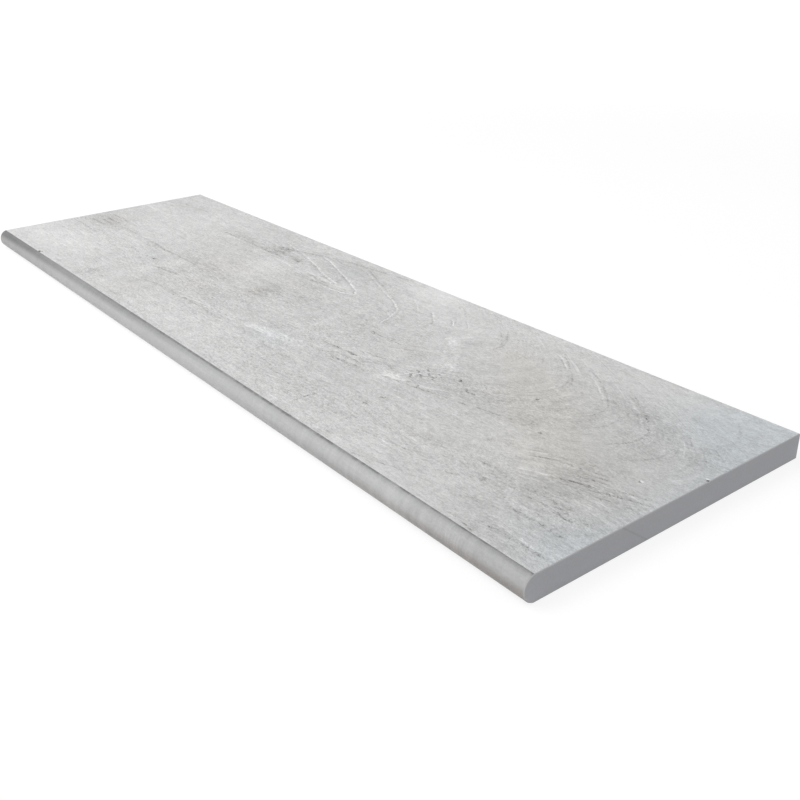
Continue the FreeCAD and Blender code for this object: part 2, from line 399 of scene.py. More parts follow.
# Clouds of the print, broad ones and then small ones, set after the photograph: place, reach along
# and across, tilt in degrees, and how much lighter or darker the cement is there.
# Broad ones also hold painted shade: lighter towards the far end, darker towards the near one.
CLOUDS_AND_SHADE = [
    (-325, 100, 42, 42, 0, 0.05),
    (-430, 60, 26, 18, 0, 0.05),
    (-320, 30, 60, 40, 0, 0.04),
    (-405, -97, 58, 30, 0, 0.075),
    (-335, -75, 60, 28, 0, 0.06),
    (-305, -22, 32, 12, 0, 0.05),
    (-200, -60, 9, 14, 0, 0.08),
    (-193, -30, 12, 8, 0, 0.05),
    (-125, 45, 22, 22, 0, 0.07),
    (-60, 66, 40, 7, 0, 0.04),
    (-11, 66, 11, 7, 0, 0.045),
    (-140, 122, 14, 12, 0, 0.05),
    (68, 120, 30, 16, -15, 0.11),
    (166, 56, 12, 8, -30, 0.07),
    (200, 20, 8, 10, 15, 0.06),
    (188, -27, 12, 8, 20, 0.06),
    (52, -54, 36, 6, 4, 0.065),
    (52, 15, 6, 26, 0, 0.05),
    (-40, -97, 70, 12, 0, 0.03),
    (30, -113, 170, 12, 0, 0.03),
    (345, 110, 60, 15, 0, 0.03),
    (-420, -12, 30, 18, 0, -0.10),
    (-446, 36, 8, 12, 0, -0.05),
    (-400, 95, 32, 12, 5, -0.03),
    (-353, 124, 12, 8, 0, -0.06),
    (-162, 82, 18, 10, 0, -0.11),
    (-235, 81, 22, 7, 0, -0.06),
    (-197, 75, 12, 5, 0, -0.05),
    (-117, 78, 11, 5, 0, -0.11),
    (-40, 112, 34, 13, 0, -0.07),
    (-72, 93, 14, 8, 0, -0.04),
    (-32, 45, 20, 9, 0, -0.06),
    (-57, 2, 13, 14, -15, -0.10),
    (-172, -9, 55, 7, 0, -0.07),
    (-275, -18, 11, 7, 0, -0.05),
    (-340, -14, 50, 6, 0, -0.04),
    (-225, -36, 7, 6, 0, -0.06),
    (-167, -38, 9, 8, 0, -0.05),
    (-178, -50, 14, 5, 10, -0.05),
    (-170, -80, 7, 9, 0, -0.05),
    (-232, -110, 8, 7, 0, -0.06),
    (-10, 16, 25, 9, 0, -0.04),
    (75, 22, 22, 14, 0, -0.03),
    (39, -3, 7, 6, 0, -0.09),
    (36, -38, 9, 6, 0, -0.04),
    (155, -40, 10, 6, 10, -0.07),
    (170, 15, 8, 7, 0, -0.04),
    (222, -10, 34, 11, 15, -0.05),
    (290, 5, 58, 13, 8, -0.04),
    (300, 50, 80, 55, 0, -0.04),
    (368, 70, 28, 11, -20, -0.055),
    (425, 45, 40, 62, 0, -0.06),
    (392, -32, 28, 22, 15, -0.075),
    (405, -70, 58, 16, 0, -0.06),
    (442, -35, 16, 26, 0, -0.05),
    (170, -90, 60, 14, 0, -0.02),
    (10, 125, 60, 12, 0, 0.03),
    (205, 115, 60, 24, -8, 0.045),
    (110, 90, 50, 18, -8, 0.035),
    (300, 112, 50, 18, 0, 0.03),
    (410, 112, 45, 24, 0, 0.045),
    (400, 78, 20, 16, 0, 0.03),
    (-400, 116, 34, 12, 0, 0.03),
    (10, -82, 50, 10, 0, 0.03),
    (310, -114, 60, 10, 0, -0.025),
    (415, -112, 40, 12, 0, -0.035),
    (318, 0, 9, 6, 0, -0.03),
    (397, -40, 13, 5, 15, -0.03),
    (188, 99, 5, 8, 20, -0.05),
    # Painted light: a lighter strip along the back edge.
    (0, 130, 450, 12, 0, 0.018),
    (90, 122, 50, 12, 0, 0.03),
    (150, 85, 90, 25, 0, 0.018),
    (250, -112, 60, 12, 0, 0.015),
    (211, 36, 8, 10, 0, -0.05),
    (228, 34, 6, 12, 0, -0.04),
    (224, 13, 7, 6, 0, -0.05),
    (183, 62, 5, 14, 0, -0.05),
    (222, 110, 12, 6, -20, -0.05),
    (266, 100, 8, 10, -30, -0.04),
    (95, 81, 7, 13, 0, -0.04),
    (148, 26, 8, 5, 0, -0.05),
    (167, -15, 7, 7, 0, -0.05),
    (338, 53, 9, 17, 10, -0.05),
    (393, 32, 9, 8, 0, -0.055),
    (412, 24, 7, 6, 0, -0.04),
    (387, 0, 6, 6, 0, -0.04),
    (410, -50, 28, 5, 0, -0.045),
    (384, -98, 17, 6, 10, -0.05),
    (435, -90, 18, 6, 8, -0.04),
    (100, -101, 12, 8, 0, -0.055),
    (61, -80, 8, 5, 0, -0.045),
    (112, -50, 30, 5, 6, -0.045),
    (163, -60, 24, 9, 0, -0.035),
    (288, -90, 8, 7, 0, -0.04),
    (200, -100, 10, 6, 0, -0.035),
    (-222, -27, 8, 13, 0, -0.06),
    (-165, 27, 11, 8, 15, -0.05),
    (-136, 20, 7, 6, 0, -0.04),
    (-46, 75, 7, 10, 0, -0.04),
    (-73, 80, 14, 7, 0, -0.04),
    (-42, 98, 22, 6, 0, -0.04),
    (-103, 67, 7, 6, 0, -0.045),
    (-12, 52, 15, 5, 0, -0.04),
    (-382, 15, 9, 8, 0, -0.05),
    (-390, 121, 12, 6, 0, -0.04),
    (-372, -114, 50, 7, 0, -0.04),
    (-236, -118, 10, 6, 0, -0.04),
    (-286, -22, 14, 5, 0, -0.05),
    (-322, -18, 8, 5, 0, -0.05),
    (-285, 79, 9, 6, 0, -0.045),
    (-287, -68, 22, 12, 0, -0.04),
    (-78, -54, 12, 7, 20, -0.045),
    (-26, -33, 22, 6, 0, -0.04),
    (-40, -56, 6, 6, 0, -0.04),
    (-175, -90, 11, 10, 0, -0.04),
    (-134, -82, 8, 8, 0, -0.04),
    (-143, -55, 7, 6, 0, -0.04),
    (416, -121, 24, 4, 0, -0.06),
    (372, -103, 12, 6, 0, -0.045),
    (430, -92, 10, 6, 0, -0.045),
    (342, -35, 7, 4, 10, 0.06),
    (410, 56, 5, 8, 0, 0.03),
    (102, -19, 9, 4, 5, 0.07),
    (382, 56, 5, 4, -30, -0.05),
    (250, -121, 26, 5, 0, 0.05),
    (132, -118, 10, 5, 0, 0.05),
    (292, -66, 6, 4, 0, -0.07),
    (200, 54, 9, 6, -20, 0.07),
    (328, 12, 9, 6, -30, 0.06),
    (16, 66, 9, 5, 0, -0.05),
    (388, -4, 8, 6, 0, -0.05),
    (336, 88, 8, 5, -30, -0.05),
    (260, -56, 8, 5, 0, 0.05),
    (272, -107, 9, 6, 0, 0.06),
    (408, -69, 14, 3, 4, 0.06),
    (392, -55, 14, 4, 8, -0.06),
    (404, 102, 9, 6, 0, -0.05),
    (24, -10, 10, 5, 0, 0.055),
    (-20, -86, 14, 5, 0, 0.055),
    (-76, 96, 10, 6, -15, 0.055),
    (212, -3, 6, 5, 20, 0.06),
    (280, -14, 8, 6, 0, -0.055),
    (336, -100, 10, 5, 0, 0.05),
    (-350, -123, 9, 5, 0, -0.05),
    (188, -30, 9, 4, 0, 0.06),
    (364, -44, 6, 4, 0, 0.05),
    (344, -62, 7, 4, 0, 0.05),
]

# Where the cement is warmer, above 0, or cooler, below it.
TINTS = [
    (-410, -5, 30, 22, 0, 0.7),
    (-250, 55, 30, 20, -20, 0.5),
    (-155, 10, 45, 32, 0, 0.9),
    (-110, -50, 30, 12, -20, 0.7),
    (-160, -95, 30, 26, 0, 0.7),
    (-55, 35, 30, 14, 0, 0.7),
    (-62, -8, 12, 14, 0, 0.9),
    (155, 18, 18, 12, 0, 0.6),
    (230, 72, 38, 26, -20, 0.9),
    (285, 45, 40, 32, 0, 0.9),
    (325, 10, 48, 28, 0, 0.9),
    (370, -30, 44, 30, 0, 1.0),
    (280, -65, 30, 16, 0, 0.5),
    (50, -57, 24, 14, 10, -1.0),
    (-238, -35, 16, 8, 0, -0.7),
    (-40, 95, 12, 14, 0, -0.6),
    (-190, 100, 10, 12, 0, -0.4),
    (430, 105, 50, 42, 0, -2.2),
    (455, 0, 22, 120, 0, -1.3),
    (440, -95, 40, 26, 0, -1.0),
]

# Where dark specks gather and the sand shows, above 0, and where the cement was closed smooth, below it.
SPECKS = [
    (-110, 0, 300, 150, 0, 0.5),
    (-300, -45, 36, 14, 0, 0.6),
    (-405, -15, 40, 22, 0, 0.4),
    (-160, -22, 60, 16, 0, 0.7),
    (-185, -62, 26, 16, 0, 0.7),
    (-162, 85, 22, 12, 0, 1.4),
    (-118, 79, 10, 6, 0, 0.8),
    (-215, 30, 50, 26, 0, 0.3),
    (-60, 4, 26, 16, -10, 0.5),
    (-60, -36, 60, 14, 4, 0.6),
    (60, -25, 40, 16, 4, 0.5),
    (128, -32, 38, 13, 8, 1.2),
    (105, 10, 30, 16, 0, 0.6),
    (208, 2, 13, 16, -20, 1.3),
    (190, -20, 12, 8, 0, 0.8),
    (238, 5, 30, 10, 8, 1.0),
    (300, 30, 50, 22, 0, 0.5),
    (285, 12, 60, 12, 12, 0.3),
    (365, 78, 28, 14, -25, 0.9),
    (385, 46, 16, 24, 0, 0.8),
    (335, 50, 12, 22, 0, 0.6),
    (430, 55, 16, 30, 0, 0.5),
    (415, -35, 38, 16, 15, 0.6),
    (408, -72, 46, 13, 0, 1.4),
    (430, -112, 26, 8, 0, 0.8),
    (250, -92, 80, 16, 6, 0.5),
    (60, -92, 90, 14, 0, 0.4),
    (110, -104, 60, 14, 0, 0.7),
    (-225, -110, 12, 8, 0, 0.8),
    (-380, -100, 70, 24, 0, -0.3),
    (-300, -95, 40, 16, 0, -0.4),
    (-330, 30, 26, 30, 0, -0.2),
    (-300, 105, 30, 24, 0, -0.2),
    (-190, 112, 60, 16, 0, -0.3),
    (-70, 112, 50, 16, 0, -0.1),
    (75, 118, 60, 18, -10, -0.6),
    (150, 85, 40, 20, -20, -0.4),
    (175, 65, 14, 10, 0, -0.6),
    (250, 52, 24, 26, 0, -0.7),
    (362, 20, 14, 26, 0, -0.9),
    (310, 112, 70, 14, 0, -0.5),
    (420, 105, 30, 22, 0, -0.5),
    (410, 0, 30, 14, 0, -0.5),
    (-250, -72, 30, 12, 0, -0.3),
]


def painted(x, y, patches):
    """The sum of soft ellipses: each is its strength times exp of minus the squared distance from its middle,
    measured in its own two reaches along its own tilt."""
    total = np.zeros(x.shape)
    for middle_x, middle_y, reach_along, reach_across, tilt, strength in patches:
        c = math.cos(math.radians(tilt))
        s = math.sin(math.radians(tilt))
        u = ((x - middle_x) * c + (y - middle_y) * s) / reach_along
        v = (-(x - middle_x) * s + (y - middle_y) * c) / reach_across
        total += strength * np.exp(-0.7 * (u * u + v * v))
    return total


# Chips along the arris: place along the tile, half length, how far in from the arris, depth.
ARRIS_CHIPS = [
    (-338.5, 4.5, 1.6, 0.55),
    (228.0, 2.6, 0.8, 0.2),
    (242.0, 3.0, 0.8, 0.2),
    (273.5, 2.8, 0.8, 0.2),
    (131.0, 1.8, 0.7, 0.15),
    (396.0, 2.4, 0.7, 0.15),
]
FACE_HOLLOW = 0.22
RIDGE_PITCH = 27.0
RIPPLE_DEPTH = 0.035


def relief(points):
    """How far each point goes in from the plain form, as a new set of points. The face goes down by uneven
    ground and by low ridges that follow the sweep, nowhere above its plain level and not at its edges. The
    nose goes in towards its middle by the grinder's ripples. Chips take the arris down."""
    x, y, z = points.T
    moved = points.copy()
    bend, _, turned = trowel_sweep(x, y)
    turned = np.minimum(turned, 1)
    ground = 0.5 + 0.5 * waves(x, y, 11, 210, 34)
    ridge = 0.5 + 0.5 * np.sin(2 * math.pi * bend / RIDGE_PITCH + 1.6 * waves(x, y, 5, 160, 60))
    lanes = 0.5 + 0.5 * waves(0.16 * x, y, 23, 60, 17, 5)
    low = 0.55 * ground + 0.3 * (turned * ridge + (1 - turned) * lanes) + 0.15 * lanes
    from_edge = np.minimum(np.minimum(HALF_LONG - np.abs(x), HALF_WIDE - y), y - ARRIS)
    on_face = (z > THICK - 0.01) & (y > ARRIS)
    moved[:, 2] -= on_face * FACE_HOLLOW * low * ease(from_edge, 0.4, 9)

    on_nose = (y < ARRIS + 0.01) & (np.abs(x) < HALF_LONG - 0.6)
    ripple = 0.5 + 0.5 * waves(x, 0.1 * z, 31, 46, 9.5, 7)
    ripple = RIPPLE_DEPTH * ripple * ease(HALF_LONG - np.abs(x), 0.6, 8)
    inward_y = NOSE_MIDDLE - y
    inward_z = THICK / 2 - z
    reach = np.maximum(np.hypot(inward_y, inward_z), 1e-9)
    away = ease(THICK / 2 - np.abs(inward_z), 0.0, 1.5)
    moved[:, 1] += on_nose * ripple * away * inward_y / reach
    moved[:, 2] += on_nose * ripple * away * inward_z / reach

    for middle, half, reach_in, depth in ARRIS_CHIPS:
        across = np.where(y > ARRIS, (y - ARRIS) / reach_in, (THICK - z) / reach_in)
        bite = np.clip(1 - ((x - middle) / half) ** 2 - across**2, 0, 1) ** 0.6
        bite *= (z > THICK / 2) & (y < ARRIS + 4)
        moved[:, 2] -= depth * bite
        moved[:, 1] += 0.5 * depth * bite
    return moved


def fill_mesh(name, points, loops, counts, kinds):
    """A new object from whole arrays: points in millimetres, each face's corners in turn, how many corners
    each face has, and its material's number."""
    mesh = bpy.data.meshes.new(name)
    mesh.vertices.add(len(points))
    mesh.loops.add(len(loops))
    mesh.polygons.add(len(counts))
    mesh.vertices.foreach_set("co", (points * MM).astype(np.float32).reshape(-1))
    mesh.loops.foreach_set("vertex_index", loops.astype(np.int32))
    starts = np.r_[0, np.cumsum(counts)[:-1]].astype(np.int32)
    mesh.polygons.foreach_set("loop_start", starts)
    mesh.polygons.foreach_set("material_index", kinds.astype(np.int32))
    mesh.update(calc_edges=True)
    mesh.validate()
    made = bpy.data.objects.new(name, mesh)
    bpy.context.scene.collection.objects.link(made)
    return made


def make_tile():
    """The whole tile as one closed shell, with the clouds and painted shade, tints, specks and sweep kept on
    its points.
    """
    shell = Shell()
    for points, kinds in (face_sheet(), nose_sheet()):
        shell.add_grid(points, kinds)
    shell.add_grid(back_edge_sheet(), SAWN, outward=False)
    shell.add_grid(end_sheet(1), SAWN)
    shell.add_grid(end_sheet(-1), SAWN, outward=False)
    under_rim(shell)
    keyed_back(shell)
    plain, loops, counts, kinds = shell.joined()

    tile = fill_mesh("bullnose_tile_dressed", relief(plain), loops, counts, kinds)
    mesh = tile.data
    x, y = plain[:, 0], plain[:, 1]
    bend, along, turned = trowel_sweep(x, y)
    # Clouds of the print, and painted shade.
    keep_numbers(mesh, "cloud", painted(x, y, CLOUDS_AND_SHADE))
    keep_numbers(mesh, "tint", painted(x, y, TINTS))
    keep_numbers(mesh, "specks", painted(x, y, SPECKS))
    keep_numbers(mesh, "sweep", np.stack([along, bend, turned], -1))
    crease(mesh, plain)
    return tile


def keep_numbers(mesh, name, values):
    """One number, or three, kept on every point of the mesh."""
    kind, field = ("FLOAT_VECTOR", "vector") if values.ndim == 2 else ("FLOAT", "value")
    layer = mesh.attributes.new(name, kind, "POINT")
    layer.data.foreach_set(field, values.astype(np.float32).reshape(-1))


REAL_EDGE = math.radians(28)


def crease(mesh, plain):
    """Smooth shading everywhere but on the real edges: those turned by more than REAL_EDGE, and both
    arrises, where the arc meets the flat at a shallower angle."""
    mesh.set_sharp_from_angle(angle=REAL_EDGE)
    ends = np.empty(len(mesh.edges) * 2, np.int32)
    mesh.edges.foreach_get("vertices", ends)
    points = plain[ends.reshape(-1, 2)]
    level = (points[..., 2] > THICK - 0.6) | (points[..., 2] < 0.3)
    on_arris = (np.abs(points[..., 1] - ARRIS) < 0.1) & level
    sharp = mesh.attributes.get("sharp_edge") or mesh.attributes.new("sharp_edge", "BOOLEAN", "EDGE")
    values = np.empty(len(mesh.edges), bool)
    sharp.data.foreach_get("value", values)
    sharp.data.foreach_set("value", values | on_arris.all(1))


# Node benches


class Bench:
    """One node tree being laid out. Each call adds a node, feeds its inputs and gives an output back."""

    def __init__(self, tree):
        self.tree = tree

    def add(self, kind, inputs=None, out=0, **settings):
        node = self.tree.nodes.new(kind)
        for name, value in settings.items():
            setattr(node, name, value)
        for key, value in (inputs or {}).items():
            self.feed(node.inputs[key], value)
        return node.outputs[out]

    def feed(self, socket, value):
        if isinstance(value, bpy.types.NodeSocket):
            self.tree.links.new(value, socket)
        else:
            socket.default_value = value

    def apart(self, vector):
        node = self.tree.nodes.new("ShaderNodeSeparateXYZ")
        self.feed(node.inputs[0], vector)
        return node.outputs

    def math(self, operation, *values):
        return self.add("ShaderNodeMath", dict(enumerate(values)), operation=operation)

    def stack(self, base, *layers):
        """The base, and on it the value of each layer times its share."""
        for value, share in layers:
            base = self.math("MULTIPLY_ADD", value, share, base)
        return base

    def product(self, first, *others):
        for other in others:
            first = self.math("MULTIPLY", first, other)
        return first

    def round_zero(self, noise):
        """Noise that stands round a half, moved to stand round 0."""
        return self.math("SUBTRACT", noise, 0.5)

    def seen_directly(self):
        """1 for what the camera sees by itself, in a mirror or through glass, and 0 for light on its way."""
        path = self.tree.nodes.new("ShaderNodeLightPath")
        seen = self.math("MAXIMUM", path.outputs["Is Camera Ray"], path.outputs["Is Glossy Ray"])
        return self.math("MAXIMUM", seen, path.outputs["Is Transmission Ray"])

    def kept(self, name, out="Fac"):
        """What the mesh keeps on its points under a name."""
        return self.add("ShaderNodeAttribute", out=out, attribute_name=name)

    def vector(self, operation, *values):
        return self.add("ShaderNodeVectorMath", dict(enumerate(values)), operation=operation)

    def range(self, value, start, end, low=0.0, high=1.0):
        fed = {"Value": value, "From Min": start, "From Max": end, "To Min": low, "To Max": high}
        return self.add("ShaderNodeMapRange", fed, interpolation_type="SMOOTHSTEP")

    def place(self, source, middle=(0, 0, 0), turn=0.0, size=(1, 1, 1)):
        fed = {"Vector": source, "Location": middle, "Rotation": (0, 0, math.radians(turn)), "Scale": size}
        return self.add("ShaderNodeMapping", fed, vector_type="TEXTURE")

    def noise(self, place, detail=3.0, rough=0.55, bent=0.0):
        fed = {"Vector": place, "Scale": 1.0, "Detail": detail, "Roughness": rough, "Distortion": bent}
        return self.add("ShaderNodeTexNoise", fed)

    def mix(self, share, first, second):
        fed = {0: share, 6: first, 7: second}
        return self.add("ShaderNodeMix", fed, out=2, data_type="RGBA")

    def use(self, group, **inputs):
        node = self.tree.nodes.new("ShaderNodeGroup")
        node.node_tree = group
        for name, value in inputs.items():
            self.feed(node.inputs[name], value)
        return node.outputs


def new_group(name, inputs, outputs):
    """An empty node group with named sockets, its bench, its input sockets by name and its output node."""
    group = bpy.data.node_groups.new(name, "ShaderNodeTree")
    kinds = {"vector": "NodeSocketVector", "value": "NodeSocketFloat", "colour": "NodeSocketColor"}
    for label, kind in inputs:
        group.interface.new_socket(label, in_out="INPUT", socket_type=kinds[kind])
    for label, kind in outputs:
        group.interface.new_socket(label, in_out="OUTPUT", socket_type=kinds[kind])
    entry = group.nodes.new("NodeGroupInput")
    leave = group.nodes.new("NodeGroupOutput")
    given = {socket.name: socket for socket in entry.outputs if socket.name}
    return group, Bench(group), given, leave


def trowel_stroke_group(name, shadowed):
    """One stroke laid over those before it. Sheet holds the place along and across the tile, and as its third
    number the tone laid so far. In the stroke's own coordinates, along runs from -1 to 1 and across counts
    half widths: the line bows by Bow times one less the square of along, wanders by Wander, and fades at its
    sides and its two tips. A shadowed one has a darker line close by, on the right of its way: a painted
    shadow of the raised stroke."""
    inputs = [("Sheet", "vector"), ("Middle", "vector"), ("Turn", "vector"), ("Size", "vector")]
    inputs += [("Bow", "value"), ("Wander", "value"), ("Feather", "value"), ("Tone", "value")]
    group, bench, given, leave = new_group(name, inputs, [("Sheet", "vector")])
    fed = {"Vector": given["Sheet"], "Location": given["Middle"]}
    fed.update({"Rotation": given["Turn"], "Scale": given["Size"]})
    own = bench.apart(bench.add("ShaderNodeMapping", fed, vector_type="TEXTURE"))
    along = bench.math("ABSOLUTE", own[0])
    inner = bench.math("MULTIPLY_ADD", bench.math("MULTIPLY", along, along), -1.0, 1.0)
    line = bench.math("MULTIPLY_ADD", inner, given["Bow"], given["Wander"])
    aside = bench.math("SUBTRACT", own[1], line)
    outer = bench.math("ADD", given["Feather"], 1.0)
    body = bench.range(bench.math("ABSOLUTE", aside), outer, bench.math("SUBTRACT", 1.0, given["Feather"]))
    if shadowed:
        # A darker line close by on the right of the stroke: a painted shadow of the raised stroke.
        beside = bench.math("ABSOLUTE", bench.math("ADD", aside, 2.1))
        body = bench.math("MULTIPLY_ADD", bench.range(beside, 1.7, 0.2), -0.6, body)
    mask = bench.math("MULTIPLY", body, bench.range(along, 1.0, 0.72))
    sheet = bench.apart(given["Sheet"])
    total = bench.math("MULTIPLY_ADD", mask, given["Tone"], sheet[2])
    bench.feed(leave.inputs["Sheet"], bench.add("ShaderNodeCombineXYZ", {0: sheet[0], 1: sheet[1], 2: total}))
    return group


def fired_grain_group():
    """The fired body's fine grain: a mottle of Size millimetres, a sand of a third of that, and rare dark
    pits. Tone stands round 0, Height round 0, and Pits is a mask."""
    inputs = [("Place", "vector"), ("Size", "value"), ("Pitting", "value")]
    outputs = [("Tone", "value"), ("Height", "value"), ("Pits", "value")]
    group, bench, given, leave = new_group("fired grain", inputs, outputs)
    scale = bench.math("DIVIDE", 1.0, given["Size"])
    spread = bench.add("ShaderNodeVectorMath", {0: given["Place"], 3: scale}, operation="SCALE")
    mottle = bench.noise(spread, 2.0, 0.6)
    sand = bench.noise(bench.vector("MULTIPLY_ADD", spread, (3.1, 3.1, 3.1), (7.3, 1.9, 4.4)), 1.0, 0.5)
    both = bench.math("ADD", mottle, sand)
    tone = bench.math("SUBTRACT", both, 1.0)
    pitted = bench.noise(bench.vector("MULTIPLY_ADD", spread, (0.42, 0.42, 0.42), (3.7, 8.1, 2.2)), 2.0, 0.7)
    edge = bench.math("SUBTRACT", 0.86, given["Pitting"])
    pits = bench.range(pitted, edge, bench.math("ADD", edge, 0.05))
    height = bench.math("MULTIPLY_ADD", pits, -0.8, tone)
    bench.feed(leave.inputs["Tone"], tone)
    bench.feed(leave.inputs["Height"], height)
    bench.feed(leave.inputs["Pits"], pits)
    return group


def drawn_lines_group():
    """Marks drawn out one way, as a trowel, saw or grinding wheel leaves them: noise stretched to Long by
    Fine millimetres. Soft keeps all of it round 0. Dark and Light are its rarest troughs and crests."""
    inputs = [("Place", "vector"), ("Long", "value"), ("Fine", "value"), ("Rare", "value")]
    outputs = [("Soft", "value"), ("Dark", "value"), ("Light", "value")]
    group, bench, given, leave = new_group("drawn lines", inputs, outputs)
    long_way = bench.math("DIVIDE", 1.0, given["Long"])
    fine_way = bench.math("DIVIDE", 1.0, given["Fine"])
    size = bench.add("ShaderNodeCombineXYZ", {0: long_way, 1: fine_way, 2: fine_way})
    drawn = bench.noise(bench.vector("MULTIPLY", given["Place"], size), 4.0, 0.62, 0.25)
    bench.feed(leave.inputs["Soft"], bench.round_zero(drawn))
    low = bench.math("SUBTRACT", 0.5, given["Rare"])
    high = bench.math("ADD", 0.5, given["Rare"])
    bench.feed(leave.inputs["Dark"], bench.range(drawn, low, bench.math("SUBTRACT", low, 0.1)))
    bench.feed(leave.inputs["Light"], bench.range(drawn, high, bench.math("ADD", high, 0.1)))
    return group


STROKE = trowel_stroke_group("trowel stroke", False)
# Pale strokes, each with a painted shadow close by.
RIDGE = trowel_stroke_group("trowel ridge with painted shadow", True)
GRAIN = fired_grain_group()
LINES = drawn_lines_group()


BODY_SPECULAR = 0.35


def start_material(name, roughness):
    """A new material with its Principled shader, and the point in millimetres in the tile's own axes."""
    material = bpy.data.materials.new(name)
    material.use_nodes = True
    bench = Bench(material.node_tree)
    shader = material.node_tree.nodes["Principled BSDF"]
    shader.inputs["Roughness"].default_value = roughness
    shader.inputs["Specular IOR Level"].default_value = BODY_SPECULAR
    coords = material.node_tree.nodes.new("ShaderNodeTexCoord")
    place = bench.vector("MULTIPLY", coords.outputs["Object"], (1 / MM, 1 / MM, 1 / MM))
    return material, bench, shader, place


def raise_bump(bench, shader, height, depth_mm):
    """The shader's normal from a height of about -1 to 1 that stands for depth_mm."""
    fed = {"Strength": 1.0, "Distance": depth_mm * MM, "Height": height}
    bench.feed(shader.inputs["Normal"], bench.add("ShaderNodeBump", fed))


def shade(bench, colour, tone):
    """A colour made lighter or darker: multiplied by one plus tone."""
    factor = bench.math("ADD", tone, 1.0)
    return bench.add("ShaderNodeVectorMath", {0: colour, 3: factor}, operation="SCALE")


# Strokes of the trowel in the print, set after the photograph, in millimetres: the two tips, how far
# the line bows to the left of its way, half its width, and how much lighter or darker it is.
PALE_LINES = [
    (-183, 105, -122, 93.5, 0.8, 0.9, 0.16),
    (-127, 94.5, -66, 76.5, 0.8, 1.0, 0.22),
    (-72, 78, -24, 67, -1.0, 0.9, 0.18),
    (-110, 107.5, -45, 88, 1.8, 0.9, 0.18),
    (-50, 89.5, 1, 70.5, 1.6, 1.0, 0.22),
    (-4, 73, 13, 62, 1.8, 1.0, 0.24),
    (13, 65, -6, 56, 2.0, 0.9, 0.16),
    (2, 57, -34, 53, 0.8, 0.9, 0.2),
    (-44, 116, 32, 86.5, 0.3, 0.7, 0.11),
    (27, 88.5, 76, 66, 2.4, 0.8, 0.18),
    (72, 70, 89, 34, 1.6, 0.8, 0.16),
    (-104, -72, -50, -62, 1.0, 1.0, 0.16),
    (-120, -68, -66, -61, 0.8, 0.8, 0.09),
    (-58, -64, 6, -56, 1.0, 1.5, 0.11),
    (-76, -69, -18, -64, 0.6, 0.8, 0.10),
    (-30, -66, 34, -58, 0.8, 0.9, 0.10),
    (6, -61, 80, -49, 1.0, 4.0, 0.1),
    (18, -54, 70, -46, 0.8, 1.0, 0.10),
    (70, -46, 128, -30, 0.5, 1.6, 0.08),
    (152, 63, 168, 54, 1.0, 2.4, 0.12),
    (162, 62, 168, 50, 0.6, 1.8, 0.11),
    (170, 53, 186, 43, 1.0, 2.2, 0.10),
    (186, 43, 197, 31, 0.6, 1.7, 0.08),
    (194, 28, 206, 19, 0.8, 2.8, 0.08),
    (203, 25, 214, 9, 1.0, 1.6, 0.13),
    (179, -31, 191, -22, 0.5, 2.4, 0.15),
    (186, -28, 206, -24, 0.6, 1.9, 0.11),
    (186, -14, 190, -25, 0.3, 1.3, 0.10),
    (-270, 69, -135, 69.4, 0.0, 1.4, 0.06),
    (-90, 66, -4, 61, 1.5, 2.0, 0.09),
    (239, 109, 271, 88.5, 2.0, 0.8, 0.12),
    (279, 102.5, 331, 65, 2.5, 0.8, 0.13),
    (331, 89.5, 380, 50, 3.5, 0.8, 0.11),
    (58, 100, 92, 78, 1.5, 0.8, 0.10),
    (420, -1.3, 424, -1.3, 0.0, 0.8, 0.3),
    (446, 33, 450, 33, 0.0, 0.8, 0.25),
    (-344, -123.8, -333, -123.4, 0.0, 0.7, 0.1),
    (398, -108, 436, -110, 0.4, 1.0, 0.1),
    (372, -106, 402, -104, 0.3, 0.8, 0.07),
    (-124, 64, -40, 56, 1.0, 0.9, 0.09),
    (168, 47, 180, 36, 0.6, 1.2, 0.09),
    (196, -14, 200, -4, 0.3, 1.2, 0.16),
    (184, -16, 196, -13, 0.3, 1.4, 0.16),
    (202, -6, 212, -1, 0.3, 1.0, 0.14),
    (98, 90, 118, 75, 1.0, 0.8, 0.22),
    (124, 92, 138, 80, 1.2, 0.8, 0.22),
    (136, 100, 152, 88, 0.6, 0.7, 0.16),
]

